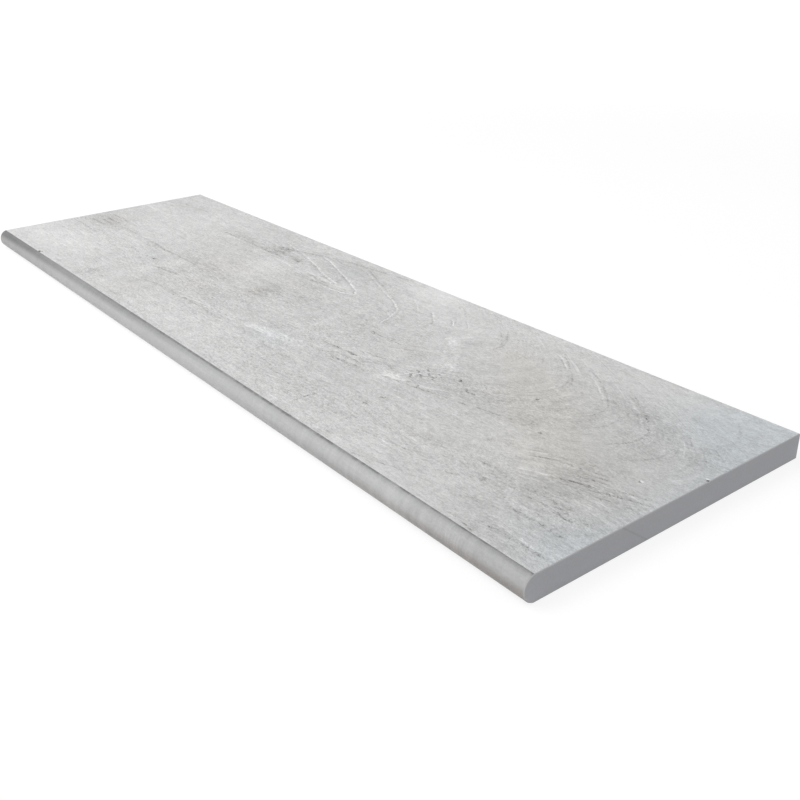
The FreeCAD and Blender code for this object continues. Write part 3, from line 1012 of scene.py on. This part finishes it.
DARK_LINES = [
    (-172, 91, -98, 112, -1.5, 2.0, -0.15),
    (-104, 111, -40, 121.5, 0.5, 1.7, -0.11),
    (-52, 119, 24, 131.5, 0.5, 1.5, -0.10),
    (-272, 72.4, -190, 71.7, 0.3, 1.4, -0.16),
    (-205, 72.2, -134, 72.0, 0.0, 1.5, -0.18),
    (-320, 58, -262, 71, -1.0, 1.0, -0.05),
    (-101, 58, -22, 59.5, -5.0, 1.2, -0.11),
    (-88, 66, -30, 60, -1.0, 1.0, -0.09),
    (-40, 62, 10, 66, -2.0, 1.0, -0.09),
    (-43, 119, 31, 90, 0.3, 1.0, -0.11),
    (28, 91, 77, 68.5, 2.4, 0.9, -0.07),
    (74, 71, 91, 35, 1.8, 0.9, -0.08),
    (60, 74, 72, 52, 2.0, 1.0, -0.06),
    (-434, 3, -386, 2.5, 0.4, 0.9, -0.15),
    (-422, -9, -384, -9, 0.3, 1.2, -0.17),
    (-421, -16, -385, -16, -0.3, 1.3, -0.17),
    (-434, -25, -388, -24.5, 0.5, 1.1, -0.16),
    (-448, -44, -366, -45, 1.0, 1.2, -0.09),
    (-362, -7.6, -331, -7.3, 0.2, 1.1, -0.10),
    (-378, -12, -300, -13, 0.8, 1.1, -0.11),
    (-312, -12, -238, -15, 1.0, 1.3, -0.12),
    (-255, -15, -200, -14, 0.4, 1.1, -0.10),
    (-215, -13, -150, -16, 1.2, 1.0, -0.08),
    (-312, -52, -280, -53, 0.5, 1.1, -0.09),
    (-298, -39, -252, -41, 0.6, 1.0, -0.08),
    (-206, -50.5, -160, -43.5, 1.2, 1.5, -0.17),
    (-198, -44, -178, -40, 0.4, 1.2, -0.08),
    (-146, -42, -96, -46, 1.0, 1.1, -0.07),
    (-180, -79, -118, -71, 1.4, 1.1, -0.09),
    (-122, -72, -78, -70, 0.4, 1.2, -0.11),
    (-84, -71, -28, -71, 0.6, 1.0, -0.09),
    (-44, -62, 14, -55, 0.5, 0.9, -0.07),
    (-30, -71, 42, -69, 0.4, 0.9, -0.06),
    (-92, 4, -36, -13, 2.0, 1.6, -0.07),
    (-46, -9, 2, 3, 0.6, 1.0, -0.08),
    (-12, 8, 38, 18, 0.6, 0.9, -0.07),
    (-42, -24, 24, -18, 0.6, 0.9, -0.06),
    (96, 18.6, 108, 16.8, 0.0, 1.8, -0.15),
    (106, 17.5, 143, 18.6, 0.8, 0.8, -0.14),
    (126, -17.5, 162, -9, 0.6, 0.9, -0.14),
    (90, -28, 140, -24, 0.6, 1.2, -0.17),
    (96, -35, 160, -30, 1.0, 1.3, -0.10),
    (120, -42, 170, -36, 0.8, 1.6, -0.13),
    (175, -89, 175, -111, 0.0, 0.8, -0.18),
    (180, -33, 228, -23.5, 0.8, 0.9, -0.10),
    (220, -25, 268, -14.5, 0.8, 0.9, -0.11),
    (258, -17, 312, -4.5, 0.8, 0.9, -0.10),
    (102, 88.5, 123, 67, 1.6, 0.8, -0.12),
    (104, 121, 133, 101, 2.0, 0.9, -0.10),
    (122, 98, 136, 84, 1.2, 0.8, -0.10),
    (176, 104, 199, 82, 2.2, 0.9, -0.12),
    (197, 88, 199, 71, 1.6, 0.9, -0.11),
    (239, 112.5, 275, 87.5, 2.6, 0.8, -0.11),
    (271, 92, 294, 66, 2.2, 0.9, -0.11),
    (292, 70, 294, 40, 2.0, 0.8, -0.06),
    (279, 105.5, 334, 67, 3.0, 0.8, -0.11),
    (331, 70, 331, 33, 7.6, 0.9, -0.09),
    (331, 92.5, 384, 51, 4.4, 0.8, -0.10),
    (336, 93, 353, 80, 0.6, 0.7, -0.11),
    (330, 76, 340, 68, 0.6, 1.6, -0.10),
    (349, 74, 362, 69, 0.4, 1.6, -0.10),
    (361, 75, 371, 66, 0.6, 1.6, -0.09),
    (399, 75, 421, 50, 2.0, 0.9, -0.06),
    (246, 116, 249, 106, 0.3, 0.8, -0.14),
    (181, 106, 194, 90, 1.5, 1.2, -0.10),
    (381, 57, 371, 16, 7.2, 1.1, -0.11),
    (391, 74, 420, 55, 2.0, 0.9, -0.05),
    (414, 114, 428, 93, 1.8, 0.9, -0.09),
    (300, 58, 303, 22, 5.0, 0.9, -0.06),
    (352, 60, 345, 22, 6.4, 0.9, -0.08),
    (313, -40, 336, -32, 0.5, 1.8, -0.08),
    (345, -42, 361, -39, 0.3, 1.3, -0.07),
    (388, -40, 411, -33, 0.6, 1.9, -0.05),
    (350, -25, 374, -18, 0.6, 0.8, -0.08),
    (354, -31, 380, -22, 0.8, 0.8, -0.08),
    (372, -24, 409, -14, 1.0, 0.9, -0.09),
    (382, -28, 413, -17, 0.8, 0.8, -0.11),
    (317, 1, 323, 4, 0.2, 1.8, -0.13),
    (331, -3, 335, -6, 0.0, 1.2, -0.2),
    (335, -64, 373, -65, 0.3, 1.3, -0.08),
    (349, -67, 362, -70, -1.2, 0.9, -0.12),
    (275, -79, 282, -76, 0.2, 2.2, -0.10),
    (352, -79, 357, -81, 0.0, 2.2, -0.10),
    (242, -102, 270, -97, 0.5, 1.0, -0.12),
    (268, -97, 299, -92, 0.5, 0.9, -0.10),
    (324, -96, 342, -88, 0.4, 0.9, -0.11),
    (396, -114.5, 420, -113, 0.4, 1.2, -0.13),
    (268, -126, 301, -117, 0.6, 0.7, -0.13),
    (380, -123, 396, -125.5, 0.2, 0.6, -0.12),
    (213, -58, 217, -54, 0.0, 1.2, -0.2),
    (212, -73, 216, -71, 0.0, 1.4, -0.16),
    (378, -44, 424, -26, 0.8, 0.8, -0.12),
    (386, -32, 420, -19, 0.6, 0.8, -0.12),
    (404, -38, 450, -20, 0.8, 0.8, -0.13),
    (398, -46, 446, -31, 0.8, 0.8, -0.07),
    (414, -26, 449, -14, 0.6, 0.8, -0.12),
    (378, -65, 414, -63, 0.3, 1.3, -0.13),
    (404, -69, 451, -66, 0.4, 1.4, -0.09),
    (382, -72, 430, -73, 0.4, 1.2, -0.12),
    (386, -90, 440, -89, 0.4, 1.4, -0.13),
    (420, -113, 451, -112, 0.2, 1.4, -0.13),
    (390, -115, 407, -115, 0.0, 1.2, -0.10),
    (363, -100, 377, -100, 0.0, 1.2, -0.10),
    (363, -122.5, 380, -122.5, 0.0, 0.7, -0.12),
    (-448, -107, -420, -108, 0.4, 0.8, -0.05),
    (-74, -72, -70, -72, 0.0, 2.0, -0.16),
    (60, -77, 69, -76, 0.2, 1.5, -0.15),
    (85, -72, 99, -71, 0.2, 2.2, -0.11),
    (-228.5, -37.5, -224, -37.5, 0.0, 1.5, -0.7),
    (-244.5, -39.7, -240.5, -39.7, 0.0, 1.0, -0.24),
    (291, 32.5, 294.4, 33.3, 0.0, 1.3, -0.8),
    (448, 31, 450.5, 31, 0.0, 0.9, -0.3),
    (-342, -126.0, -334.5, -125.6, 0.0, 1.1, -0.6),
    (-336.5, -123.6, -332, -124.2, 0.0, 0.8, -0.35),
    (-240, -107, -232, -103.5, 1.0, 0.9, -0.13),
    (-232, -103.5, -226, -108, 1.0, 0.9, -0.13),
    (-238, -110, -229, -112, 0.6, 0.9, -0.12),
    (-96, 52, -40, 54, -1.5, 0.9, -0.08),
    (-250, 76, -206, 79, 0.0, 1.2, -0.08),
    (-68, -11, -42, -10, 0.0, 1.6, -0.10),
    (-174, 80, -142, 80, 0.0, 1.8, -0.12),
    (-170, 87, -146, 89, 0.0, 1.6, -0.10),
    (-128, 78, -108, 77, 0.0, 1.4, -0.14),
    (191, -3, 197, -5, 0.0, 0.9, -0.22),
    (195, 4, 201, 2, 0.0, 0.9, -0.2),
    (203, -1, 208, -3, 0.0, 0.9, -0.24),
    (199, -8, 206, -9.5, 0.0, 1.0, -0.18),
    (209, 5, 214, 3, 0.0, 0.8, -0.2),
    (212, -5, 218, -6.5, 0.0, 0.9, -0.2),
    (170, -17, 178, -18, 0.0, 0.9, -0.16),
    (209, -2.5, 214, -1.5, 0.0, 1.0, -0.28),
    (198, -11, 217, 2.5, 0.8, 0.7, -0.13),
    (214, 1.5, 233, 10, 1.2, 0.7, -0.2),
    (228, 13, 232, 8, 0.0, 1.0, -0.24),
    (242, 4, 250, -0.5, 0.3, 0.8, -0.2),
    (249, 0.5, 258, 1.5, 0.3, 0.8, -0.18),
    (252, 18, 256, 12, 0.0, 0.8, -0.16),
    (194, -11, 199, -17, 0.0, 1.2, -0.26),
    (215, -20, 218, -27, 0.0, 1.2, -0.2),
    (142, 73, 148, 64, 0.5, 1.6, -0.12),
    (119, 72, 121, 60, 0.3, 1.2, -0.08),
    (104, 119, 112, 112, 0.3, 0.9, -0.12),
    (-176, 84, -150, 82, 0.3, 1.2, -0.13),
    (-172, 92, -150, 93, 0.0, 1.0, -0.11),
    (-168, 76, -146, 75.5, 0.0, 1.0, -0.13),
    (-164, 93, -162, 78, 0.0, 0.8, -0.11),
    (-153, 92, -151, 77, 0.0, 0.8, -0.11),
]


def lay_strokes(bench, place, wander, lines, group):
    """Every stroke in turn, laid on a bare sheet. The tone that they add up to comes back."""
    sheet = bench.vector("MULTIPLY", place, (1, 1, 0))
    for x0, y0, x1, y1, bow, half_width, tone in lines:
        half_long = math.hypot(x1 - x0, y1 - y0) / 2
        laid = bench.use(
            group,
            Sheet=sheet,
            Middle=((x0 + x1) / 2, (y0 + y1) / 2, 0),
            Turn=(0, 0, math.atan2(y1 - y0, x1 - x0)),
            Size=(half_long, half_width, 1),
            Bow=bow / half_width,
            Wander=wander,
            Feather=0.75 if half_long > 4 else 0.4,
            Tone=tone,
        )
        sheet = laid["Sheet"]
    return bench.apart(sheet)[2]


def reach_into(lines, start, end):
    """The strokes that reach into a length of the tile, or come within a margin of it."""
    margin = 9
    return [
        line
        for line in lines
        if min(line[0], line[2]) < end + margin and max(line[0], line[2]) > start - margin
    ]


CEMENT = (0.600, 0.600, 0.597, 1)
CEMENT_WARM = (0.594, 0.580, 0.556, 1)
CEMENT_COOL = (0.560, 0.590, 0.610, 1)


def drawn_marks(bench, sweep, turned, strayed):
    """The trowel's fine marks: drawn along the tile, and along the sweep where that shows. First the soft
    marks by themselves, then the tone of all of them with their rarest troughs and crests."""
    straight = bench.use(LINES, Place=strayed, Long=20.0, Fine=2.3, Rare=0.12)
    bent = bench.use(LINES, Place=sweep, Long=30.0, Fine=4.0, Rare=0.12)

    def choose(name):
        fed = {0: turned, 2: straight[name], 3: bent[name]}
        return bench.add("ShaderNodeMix", fed, data_type="FLOAT")

    soft, trough, crest = choose("Soft"), choose("Dark"), choose("Light")
    drawn = bench.stack(0.0, (soft, 0.32), (trough, -0.15), (crest, 0.13))
    return soft, bench.product(drawn, bench.math("MAXIMUM", turned, 1.0))


def single_strokes(bench, place, broken, zone):
    """The strokes that reach into one of the face's lengths: pale ridges, each with a painted shadow close
    by, and dark lines, both broken up by uneven noise, and the dark ones by grit too."""
    start = -HALF_LONG + zone * 2 * HALF_LONG / ZONES
    end = start + 2 * HALF_LONG / ZONES
    wander_noise = bench.noise(bench.place(place, (0, 0, 0), 0, (5, 5, 9)), 4.0, 0.72)
    wander = bench.math("MULTIPLY_ADD", wander_noise, 3.6, -1.8)
    jagged = bench.math("MULTIPLY", wander, 2.4)
    # Pale ridges, each with a painted shadow close by.
    pale = lay_strokes(bench, place, jagged, reach_into(PALE_LINES, start, end), RIDGE)
    pale = bench.product(pale, bench.range(broken, 0.38, 0.6, 0.3, 1.3))
    dark = lay_strokes(bench, place, wander, reach_into(DARK_LINES, start, end), STROKE)
    dark = bench.product(dark, bench.range(broken, 0.38, 0.6, 0.1, 1.4))
    grit = bench.noise(bench.place(place, (4, 9, 2), 0, (1.7, 1.2, 3)), 1.0, 0.5)
    return pale, bench.product(dark, bench.range(grit, 0.38, 0.6, 0.35, 1.6))


def flecks_and_veins(bench, place, strayed, broken, soft_cloud):
    """Dark flecks, pale veins between them, and how sandy the face is. Flecks and sand gather where the mesh
    keeps specks, and where the soft clouds are dark."""
    fleck = bench.noise(bench.place(place, (50, 30, 0), 0, (7.5, 1.7, 20)), 3.0, 0.68, 0.7)
    gathered = bench.math("ADD", bench.kept("specks"), bench.math("MULTIPLY_ADD", soft_cloud, -2.4, 1.35))
    flecks = bench.product(bench.range(fleck, 0.54, 0.68), bench.range(gathered, -0.3, 1.6, 0.0, 0.24))
    sandy = bench.range(gathered, -1.2, 1.4, 0.26, 0.76)
    vein = bench.noise(bench.place(strayed, (10, 40, 0), 0, (52, 20, 60)), 5.0, 0.6, 0.3)
    beside_vein = bench.math("ABSOLUTE", bench.round_zero(vein))
    veins = bench.product(bench.range(beside_vein, 0.016, 0.0), bench.range(broken, 0.4, 0.62, 0.0, 0.08))
    return flecks, veins, sandy


def printed_cement(zone):
    """The face: a cement print of clouds, marks that turn with the trowel, single strokes, flecks, veins and
    grain. The clouds also carry painted shade, and each pale stroke a painted shadow close by. Each of its
    lengths has the same finish, with its own strokes. Marks and grain are stronger at the far end than at the
    near one. Soil makes the cement warmer, and the tints make it warmer or cooler."""
    material, bench, shader, place = start_material("printed_cement_" + "abcdef"[zone], 0.62)
    sweep = bench.kept("sweep", "Vector")
    turned = bench.apart(sweep)[2]
    soft_cloud = bench.noise(bench.place(place, (140, 60, 0), 0, (58, 30, 60)), 4.0, 0.55, 0.4)
    small_cloud = bench.noise(bench.place(place, (20, 260, 0), 0, (13, 8, 20)), 3.0, 0.62, 0.6)
    fed = {"Vector": bench.place(place, (0, 0, 0), 0, (85, 85, 85)), "Scale": 1.0, "Detail": 2.0}
    stray = bench.add("ShaderNodeTexNoise", fed, out="Color")
    strayed = bench.vector("MULTIPLY_ADD", stray, (20, 20, 0), place)
    soft, drawn = drawn_marks(bench, sweep, turned, strayed)
    broken = bench.noise(bench.place(place, (90, 40, 0), 0, (5.5, 2.4, 9)), 3.0, 0.7)
    pale, dark = single_strokes(bench, place, broken, zone)
    flecks, veins, sandy = flecks_and_veins(bench, place, strayed, broken, soft_cloud)
    grain = bench.use(GRAIN, Place=bench.vector("MULTIPLY", strayed, (0.45, 1, 1)), Size=1.8, Pitting=0.09)
    dust = bench.noise(bench.place(place, (7, 3, 1), 0, (0.8, 0.8, 2)), 1.0, 0.5)
    lively = bench.range(bench.apart(place)[0], 200.0, 400.0, 1.16, 0.88)
    tone = bench.stack(
        -0.068,
        (soft_cloud, 0.16),
        # Clouds of the print, with painted shade among them.
        (bench.kept("cloud"), 1.6),
        (bench.round_zero(small_cloud), 0.48),
        (drawn, lively),
        (veins, 1.0),
        (flecks, -1.0),
        (pale, 1.5),
        (dark, 1.6),
        (grain["Tone"], bench.product(sandy, lively)),
        (bench.round_zero(dust), 0.34),
        (grain["Pits"], -0.2),
    )

    soiled = bench.stack(flecks, (dark, -0.8))
    tint = bench.kept("tint")
    warm = bench.range(bench.stack(tint, (soiled, 4.0)), 0.0, 1.6)
    cool = bench.range(tint, 0.0, -2.2)
    colour = bench.mix(cool, bench.mix(warm, CEMENT, CEMENT_WARM), CEMENT_COOL)
    bench.feed(shader.inputs["Base Color"], shade(bench, colour, tone))
    bench.feed(shader.inputs["Roughness"], bench.stack(0.6, (soft, -0.18), (pale, -0.4)))
    height = bench.stack(0.0, (grain["Height"], 0.6), (soft, 0.5), (pale, 2.0), (dark, 1.4))
    raise_bump(bench, shader, height, 0.14)
    return material


BODY = (0.470, 0.470, 0.472, 1)
# The lower nose's warmer, darker grey, partly painted shade.
BODY_BROWN_SHADE = (0.470, 0.445, 0.430, 1)
CHATTER_PITCH = 2.8


def ground_nose():
    """The nose: bare body, ground round along the tile. A fine dark line lies under the arris, partly the cut
    edge of the print and partly painted shadow, and under it a soft strip of painted shade. The strip fades
    towards the near end, where the lower half turns a warmer, darker grey, partly painted shade, and the
    whole nose is painted a little darker. Its far length carries more painted shade, and the upper half of
    its middle length a faint painted highlight. Places round the nose are read as degrees of its arc: 0 at
    the tip, and the same angle up to one arris and down to the other."""
    material, bench, shader, place = start_material("ground_nose", 0.5)
    x, _, z = bench.apart(place)
    sine = bench.math("DIVIDE", bench.math("SUBTRACT", z, THICK / 2), NOSE_RADIUS)
    degrees = bench.math("MULTIPLY", bench.math("ARCSINE", sine), 180 / math.pi)
    wheel = bench.use(LINES, Place=place, Long=120.0, Fine=1.6, Rare=0.1)["Soft"]
    cross = bench.noise(bench.place(place, (0, 0, 0), 0, (7, 60, 26)), 3.0, 0.62)
    mottle = bench.noise(bench.place(place, (8, 3, 1), 0, (26, 9, 7)), 3.0, 0.6)
    grain = bench.use(GRAIN, Place=place, Size=1.8, Pitting=0.05)

    edge = bench.stack(degrees, (bench.round_zero(mottle), 8.0))
    # The fine dark line under the arris: partly the print's cut edge, partly painted shadow.
    line_start = bench.range(x, 220.0, 430.0, 61.0, 67.0)
    line = bench.range(edge, line_start, bench.math("ADD", line_start, 10.0))
    gaps = bench.noise(bench.place(place, (40, 0, 0), 0, (15, 60, 60)), 3.0, 0.7)
    line = bench.product(line, bench.range(x, -330.0, 140.0), bench.range(gaps, 0.4, 0.6, -0.22, -0.43))

    # A soft strip of painted shade under the arris, fading towards the near end.
    band_start = bench.range(x, -440.0, -340.0, 14.0, 20.0)
    band_start = bench.math("ADD", band_start, bench.range(x, -340.0, 420.0, 0.0, 20.0))
    band = bench.range(edge, band_start, bench.math("ADD", band_start, 34.0))
    # Painted shade on the upper part of the far length.
    far_shade_band = bench.product(bench.range(x, -200.0, -440.0), bench.range(edge, 0.0, 34.0, 0.18, 0.24))
    # Painted shade on the lower half towards the near end.
    low = bench.product(bench.range(degrees, 24.0, -16.0), bench.range(x, 60.0, 430.0))
    # A faint painted highlight on the upper half of the middle length.
    crown_highlight = bench.product(bench.range(degrees, 0.0, 30.0), bench.range(x, -40.0, 60.0))
    crown_highlight = bench.product(crown_highlight, bench.range(x, 380.0, 280.0))
    rippled = bench.product(bench.range(x, 120.0, 340.0), bench.range(x, 430.0, 390.0))
    rippled = bench.stack(0.14, (rippled, 0.4))
    chatter = bench.math("SINE", bench.math("MULTIPLY", x, 2 * math.pi / CHATTER_PITCH))
    chattered = bench.product(bench.range(x, 368.0, 384.0), bench.range(x, 408.0, 392.0, 0.0, 0.04))
    chattered = bench.product(chattered, bench.range(degrees, 50.0, 30.0))
    tone = bench.stack(
        line,
        # The strip of painted shade under the arris.
        (band, bench.range(x, -80.0, 140.0, -0.38, -0.23)),
        (far_shade_band, -1.0),
        (low, -0.28),
        # Painted shade over the last stretch before the near end.
        (bench.range(x, 360.0, 450.0), -0.08),
        # Painted shade towards the far end.
        (bench.range(x, -40.0, -160.0), -0.035),
        (wheel, 0.20),
        (crown_highlight, 0.045),
        (bench.round_zero(cross), rippled),
        (chatter, chattered),
        (bench.round_zero(mottle), 0.16),
        (grain["Tone"], 0.24),
        (grain["Pits"], -0.14),
    )

    # A warmer, darker grey on the lower half towards the near end, partly painted shade.
    brown_shade = bench.product(bench.range(degrees, 30.0, -10.0), bench.range(x, 160.0, 450.0))
    colour = bench.mix(brown_shade, BODY, BODY_BROWN_SHADE)
    bench.feed(shader.inputs["Base Color"], shade(bench, colour, tone))
    bench.feed(shader.inputs["Roughness"], bench.stack(0.5, (wheel, 0.3)))
    raise_bump(bench, shader, bench.stack(0.0, (grain["Height"], 0.5), (wheel, 0.6), (cross, 0.5)), 0.06)
    return material


SAWN_GREY = (0.425, 0.430, 0.452)
HAIRLINE_LEAN = math.radians(52.64)
HAIRLINE_ASIDE = 16.6


def sawn_body():
    """The square edges: bare body with the saw's fine lines, and a single hairline on the near end. The
    hairline lies where y times its lean's cosine, z times the sine and HAIRLINE_ASIDE add up to 0."""
    material, bench, shader, place = start_material("sawn_body", 0.6)
    saw = bench.use(LINES, Place=place, Long=40.0, Fine=0.8, Rare=0.1)["Soft"]
    grain = bench.use(GRAIN, Place=place, Size=1.6, Pitting=0.07)
    x, y, z = bench.apart(place)
    across = math.cos(HAIRLINE_LEAN)
    up = math.sin(HAIRLINE_LEAN)
    aside = bench.math("ABSOLUTE", bench.stack(HAIRLINE_ASIDE, (z, up), (y, across)))
    hairline = bench.product(bench.range(aside, 1.0, 0.2), bench.range(x, 440.0, 449.0))
    tone = bench.stack(
        bench.range(z, 15.0, -2.0, -0.03, 0.12),
        (saw, 0.12),
        (grain["Tone"], 0.2),
        (grain["Pits"], -0.1),
        (hairline, -0.12),
    )
    bench.feed(shader.inputs["Base Color"], shade(bench, SAWN_GREY, tone))
    bench.feed(shader.inputs["Roughness"], bench.stack(0.6, (grain["Tone"], 0.3)))
    raise_bump(bench, shader, bench.stack(0.0, (grain["Height"], 0.5), (saw, 0.6)), 0.06)
    return material


BEVEL_GREY = (0.50, 0.50, 0.51)


def rubbed_bevel():
    """The narrow bevels: body rubbed by hand, paler than the saw cut and broken by small nicks. Those round
    the underside are darker."""
    material, bench, shader, place = start_material("rubbed_bevel", 0.55)
    nicks = bench.use(LINES, Place=place, Long=5.0, Fine=2.0, Rare=0.1)["Soft"]
    grain = bench.use(GRAIN, Place=place, Size=1.4, Pitting=0.08)
    z = bench.apart(place)[2]
    tone = bench.stack(bench.range(z, 1.0, 10.0, -0.45, 0.0), (nicks, 0.3), (grain["Tone"], 0.2))
    bench.feed(shader.inputs["Base Color"], shade(bench, BEVEL_GREY, tone))
    bench.feed(shader.inputs["Roughness"], bench.stack(0.55, (nicks, 0.3)))
    raise_bump(bench, shader, nicks, 0.1)
    return material


BACK_GREY = (0.415, 0.415, 0.42, 1)
KILN_WASH = (0.60, 0.59, 0.57, 1)


def pressed_back():
    """The keyed back: pressed body with a thin uneven kiln wash, thicker in the recesses."""
    material, bench, shader, place = start_material("pressed_back", 0.75)
    wash = bench.noise(bench.place(place, (0, 0, 0), 0, (14, 14, 14)), 5.0, 0.65, 0.5)
    grain = bench.use(GRAIN, Place=place, Size=2.4, Pitting=0.1)
    rolled = bench.use(LINES, Place=place, Long=70.0, Fine=3.0, Rare=0.1)["Soft"]
    deep = bench.range(bench.apart(place)[2], 0.1, 0.7)
    cover = bench.range(bench.stack(wash, (deep, 0.16)), 0.42, 0.66)
    colour = bench.mix(cover, BACK_GREY, KILN_WASH)
    tone = bench.stack(0.0, (rolled, 0.1), (grain["Tone"], 0.3), (grain["Pits"], -0.12))
    bench.feed(shader.inputs["Base Color"], shade(bench, colour, tone))
    bench.feed(shader.inputs["Roughness"], bench.stack(0.72, (cover, 0.12)))
    raise_bump(bench, shader, bench.stack(grain["Height"], (wash, 0.8)), 0.12)
    return material


tile = make_tile()
for zone in range(ZONES):
    tile.data.materials.append(printed_cement(zone))
for make in (ground_nose, sawn_body, rubbed_bevel, pressed_back):
    tile.data.materials.append(make())
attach(tile, "root")
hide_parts("bullnose_tile")


# Floor, light and camera


def white_floor():
    """A pale floor. To the camera it is nearly its own white, and wholly so from 3 m away, so that only the
    soft shadow tells it from the background."""
    material = bpy.data.materials.new("pale_floor")
    material.use_nodes = True
    tree = material.node_tree
    bench = Bench(tree)
    shader = tree.nodes["Principled BSDF"]
    shader.inputs["Base Color"].default_value = (0.82, 0.82, 0.82, 1)
    shader.inputs["Roughness"].default_value = 0.9
    shader.inputs["Specular IOR Level"].default_value = 0.0
    glow = bench.add("ShaderNodeEmission", {"Color": (1, 1, 1, 1), "Strength": 1.12})
    spot = tree.nodes.new("ShaderNodeTexCoord").outputs["Object"]
    away = bench.add("ShaderNodeVectorMath", {0: spot}, out="Value", operation="LENGTH")
    share = bench.math("MULTIPLY", bench.seen_directly(), bench.range(away, 0.8, 3.0, 0.72, 1.0))
    both = bench.add("ShaderNodeMixShader", {0: share, 1: shader.outputs[0], 2: glow})
    bench.feed(tree.nodes["Material Output"].inputs["Surface"], both)
    return material


FLOOR_REACH = 6000.0
FLOOR_GAP = 0.1


def make_floor():
    """A round level sheet, rings of points at growing distances. It lies a hair under the tile, so that the
    two never share a level."""
    rings = np.linspace(0, 1, 13)[:, None] ** 1.5 * FLOOR_REACH
    turn = np.linspace(0, 2 * math.pi, 65)[None, :]
    points = np.stack([rings * np.cos(turn), rings * np.sin(turn), 0 * rings * turn - FLOOR_GAP], -1)
    shell = Shell()
    shell.add_grid(points, 0)
    floor = fill_mesh("floor", *shell.joined())
    floor.data.materials.append(white_floor())


def make_world():
    """Even pale light from all round, seen as white."""
    world = bpy.data.worlds.new("studio")
    bpy.context.scene.world = world
    world.use_nodes = True
    bench = Bench(world.node_tree)
    fed = {"Value": bench.seen_directly(), "To Min": 0.54, "To Max": 1.0}
    strength = bench.add("ShaderNodeMapRange", fed)
    back = world.node_tree.nodes["Background"]
    back.inputs["Color"].default_value = (1, 1, 1, 1)
    bench.feed(back.inputs["Strength"], strength)


def add_lamp(name, place, size, watts):
    """A square soft lamp at place, pointing at the tile's middle."""
    data = bpy.data.lights.new(name, "AREA")
    data.size = size
    data.energy = watts
    lamp = bpy.data.objects.new(name, data)
    lamp.location = place
    lamp.rotation_euler = Vector(place).to_track_quat("Z", "Y").to_euler()
    bpy.context.scene.collection.objects.link(lamp)


# The camera, fitted to the tile's edges in the photograph.
CAMERA_TURN = math.radians(52.4947)
CAMERA_RISE = math.radians(25.9692)
CAMERA_ROLL = math.radians(-0.9947)
CAMERA_PLACE = (0.76084, -0.45831, 0.34776)
CAMERA_LENS = 44.107


def make_camera():
    """Looks back along its own Z: X is level, then both turn by the roll."""
    flat = math.cos(CAMERA_RISE)
    back = Vector((math.sin(CAMERA_TURN) * flat, -math.cos(CAMERA_TURN) * flat, math.sin(CAMERA_RISE)))
    level = Vector((0, 0, 1)).cross(back).normalized()
    up = back.cross(level)
    c, s = math.cos(CAMERA_ROLL), math.sin(CAMERA_ROLL)
    right = level * c + up * s
    up = up * c - level * s
    data = bpy.data.cameras.new("photo_camera")
    data.lens = CAMERA_LENS
    data.sensor_width = 36.0
    data.clip_start = 0.01
    camera = bpy.data.objects.new("photo_camera", data)
    camera.matrix_world = Matrix.Translation(CAMERA_PLACE) @ Matrix((right, up, back)).transposed().to_4x4()
    bpy.context.scene.collection.objects.link(camera)
    bpy.context.scene.camera = camera


make_floor()
make_world()
add_lamp("key", (-0.9, -1.1, 1.9), 1.6, 30)
add_lamp("fill", (0.9, -1.6, 1.2), 1.4, 4.4)
make_camera()
bpy.context.scene.view_settings.view_transform = "Standard"
